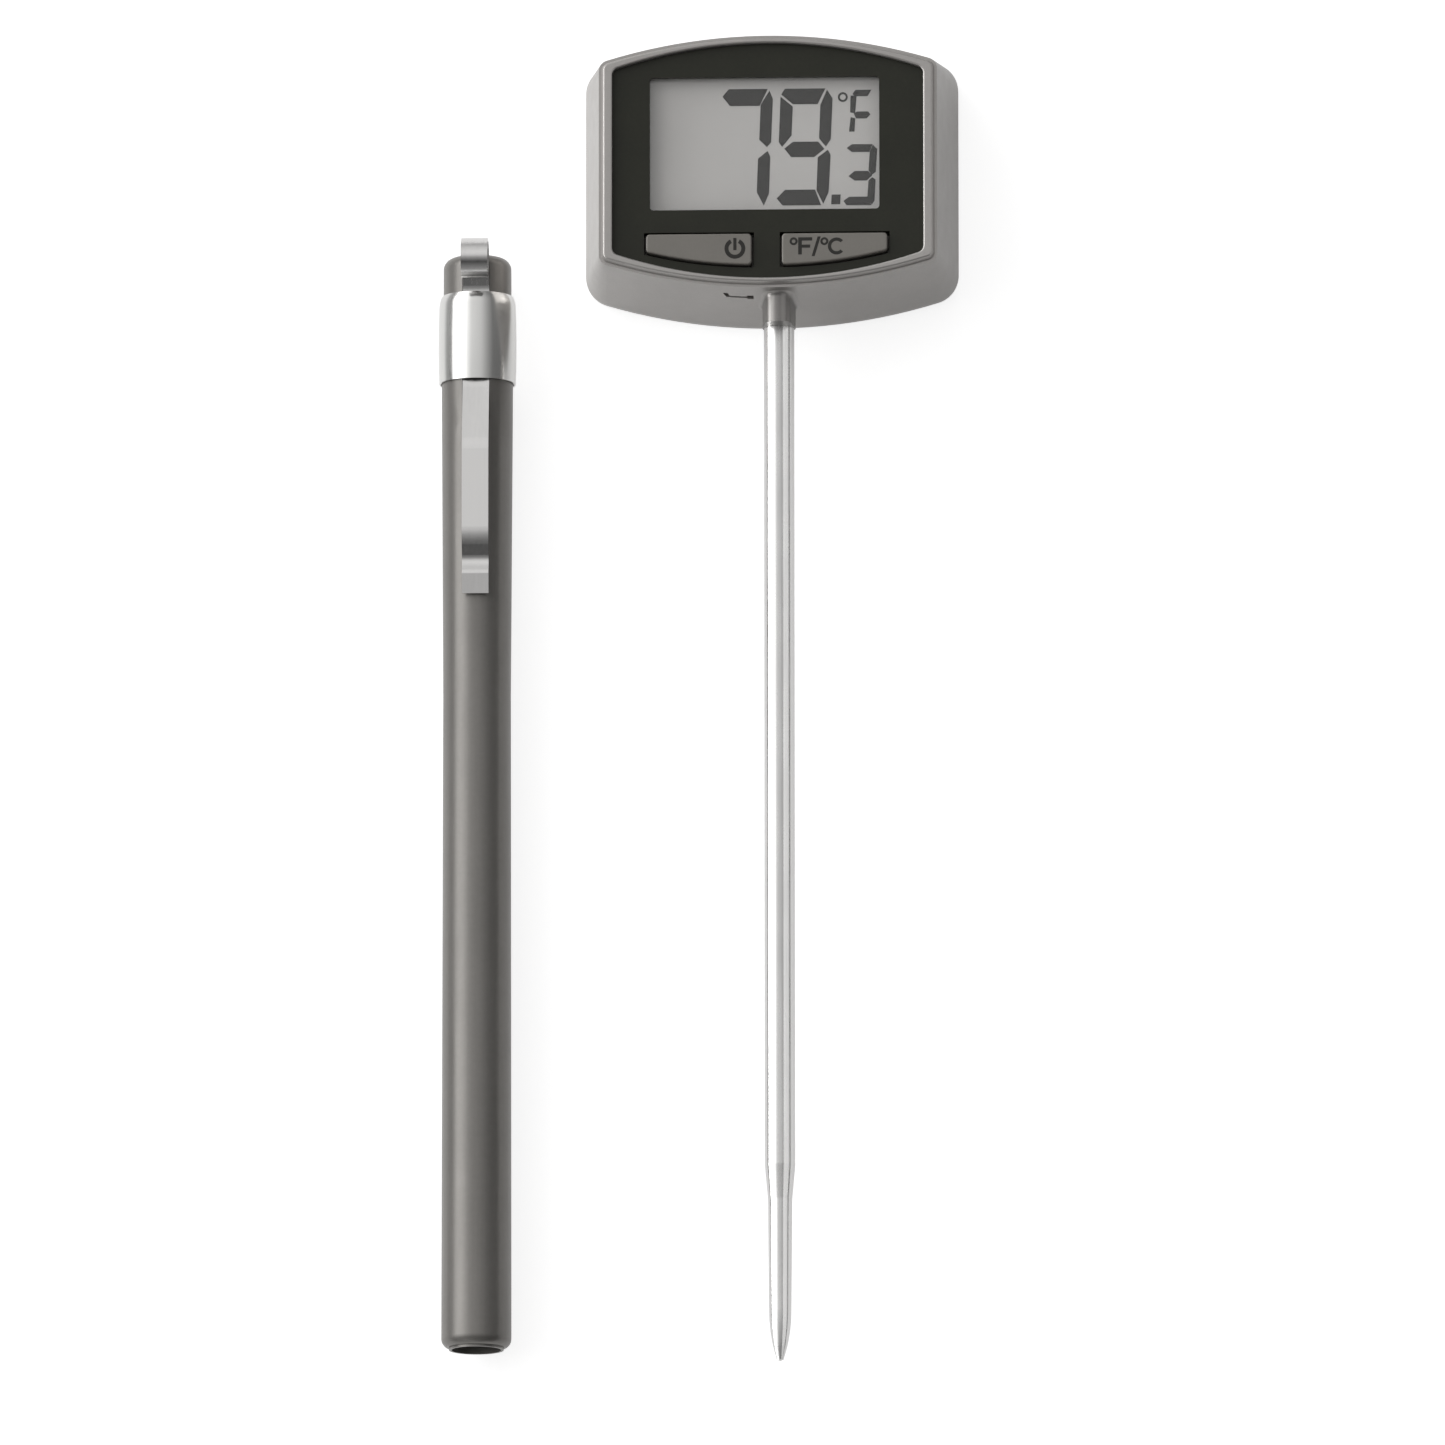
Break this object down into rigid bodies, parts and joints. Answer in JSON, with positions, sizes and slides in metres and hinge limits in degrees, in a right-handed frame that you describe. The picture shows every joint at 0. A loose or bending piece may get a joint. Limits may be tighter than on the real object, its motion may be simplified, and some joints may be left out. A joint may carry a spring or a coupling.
{
  "type": "probe thermometer",
  "caption": "Digital soil probe thermometer: display head with push buttons on a pointed steel stem, and its loose pocket sheath with band and spring clip.",
  "frame": {"origin": "centre of the head's flat back face, which lies on the table", "axes": "+Z out of the display, +Y up the display and away from the stem's point, +X to the display's right"},
  "size_m": [0.0685, 0.1778, 0.0184],
  "materials": {
    "silver_shell": "satin silver-grey lacquer over a moulded shell",
    "black_panel": "fine matte black",
    "clear_window": "clear",
    "lcd_cell": "grey reflective liquid crystal cell",
    "inner_plastic": "plain moulded",
    "seal_rubber": "matte",
    "board_laminate": "solder mask",
    "screw_steel": "zinc plated",
    "chip_epoxy": "potted epoxy",
    "can_metal": "drawn can",
    "switch_plastic": "moulded",
    "button_grey": "satin grey",
    "contact_brass": "plated spring brass",
    "stem_steel": "polished along its length",
    "lead_sleeve": "insulated wire",
    "sheath_plastic": "satin warm grey",
    "band_steel": "polished sheet",
    "clip_steel": "spring steel"
  },
  "bodies": {
    "thermometer": {"front_housing": "silver_shell", "face_panel": "black_panel", "display_window": "clear_window", "lcd_glass": "lcd_cell", "lcd_frame": "inner_plastic", "zebra_strip": "seal_rubber", "circuit_board": "board_laminate", "board_screws": "screw_steel", "controller_chip": "chip_epoxy", "crystal": "can_metal", "power_switch": "switch_plastic", "unit_switch": "switch_plastic", "back_cover": "silver_shell", "case_screws": "screw_steel", "coin_cell": "can_metal", "battery_contact_negative": "contact_brass", "battery_contact_positive": "contact_brass", "probe_stem": "stem_steel", "stem_collar": "contact_brass", "stem_seal": "seal_rubber", "thermistor": "chip_epoxy", "sensor_leads": "lead_sleeve"},
    "power_button_body": {"power_button": "button_grey", "power_switch_plunger": "switch_plastic"},
    "unit_button_body": {"unit_button": "button_grey", "unit_switch_plunger": "switch_plastic"},
    "door": {"battery_door": "silver_shell", "door_seal": "seal_rubber"},
    "sheath": {"sheath_tube": "sheath_plastic", "clip_band": "band_steel", "pocket_clip": "clip_steel"}
  },
  "joints": [
    {"name": "power_press", "type": "slide", "parent": "thermometer", "child": "power_button_body", "axis": [0, 0, -1], "range_m": [0, 0.0005], "stiffness_N_per_m": 3000, "springref_m": -0.0003},
    {"name": "unit_press", "type": "slide", "parent": "thermometer", "child": "unit_button_body", "axis": [0, 0, -1], "range_m": [0, 0.0005], "stiffness_N_per_m": 3000, "springref_m": -0.0003},
    {"name": "door_turn", "type": "hinge", "parent": "thermometer", "child": "door", "pos_m": [0, 0, 0], "axis": [0, 0, 1], "range_deg": [0, 90]},
    {"name": "sheath_pull", "type": "slide", "parent": "thermometer", "child": "sheath", "axis": [0, -1, 0], "range_m": [0, 0.137]}
  ]
}
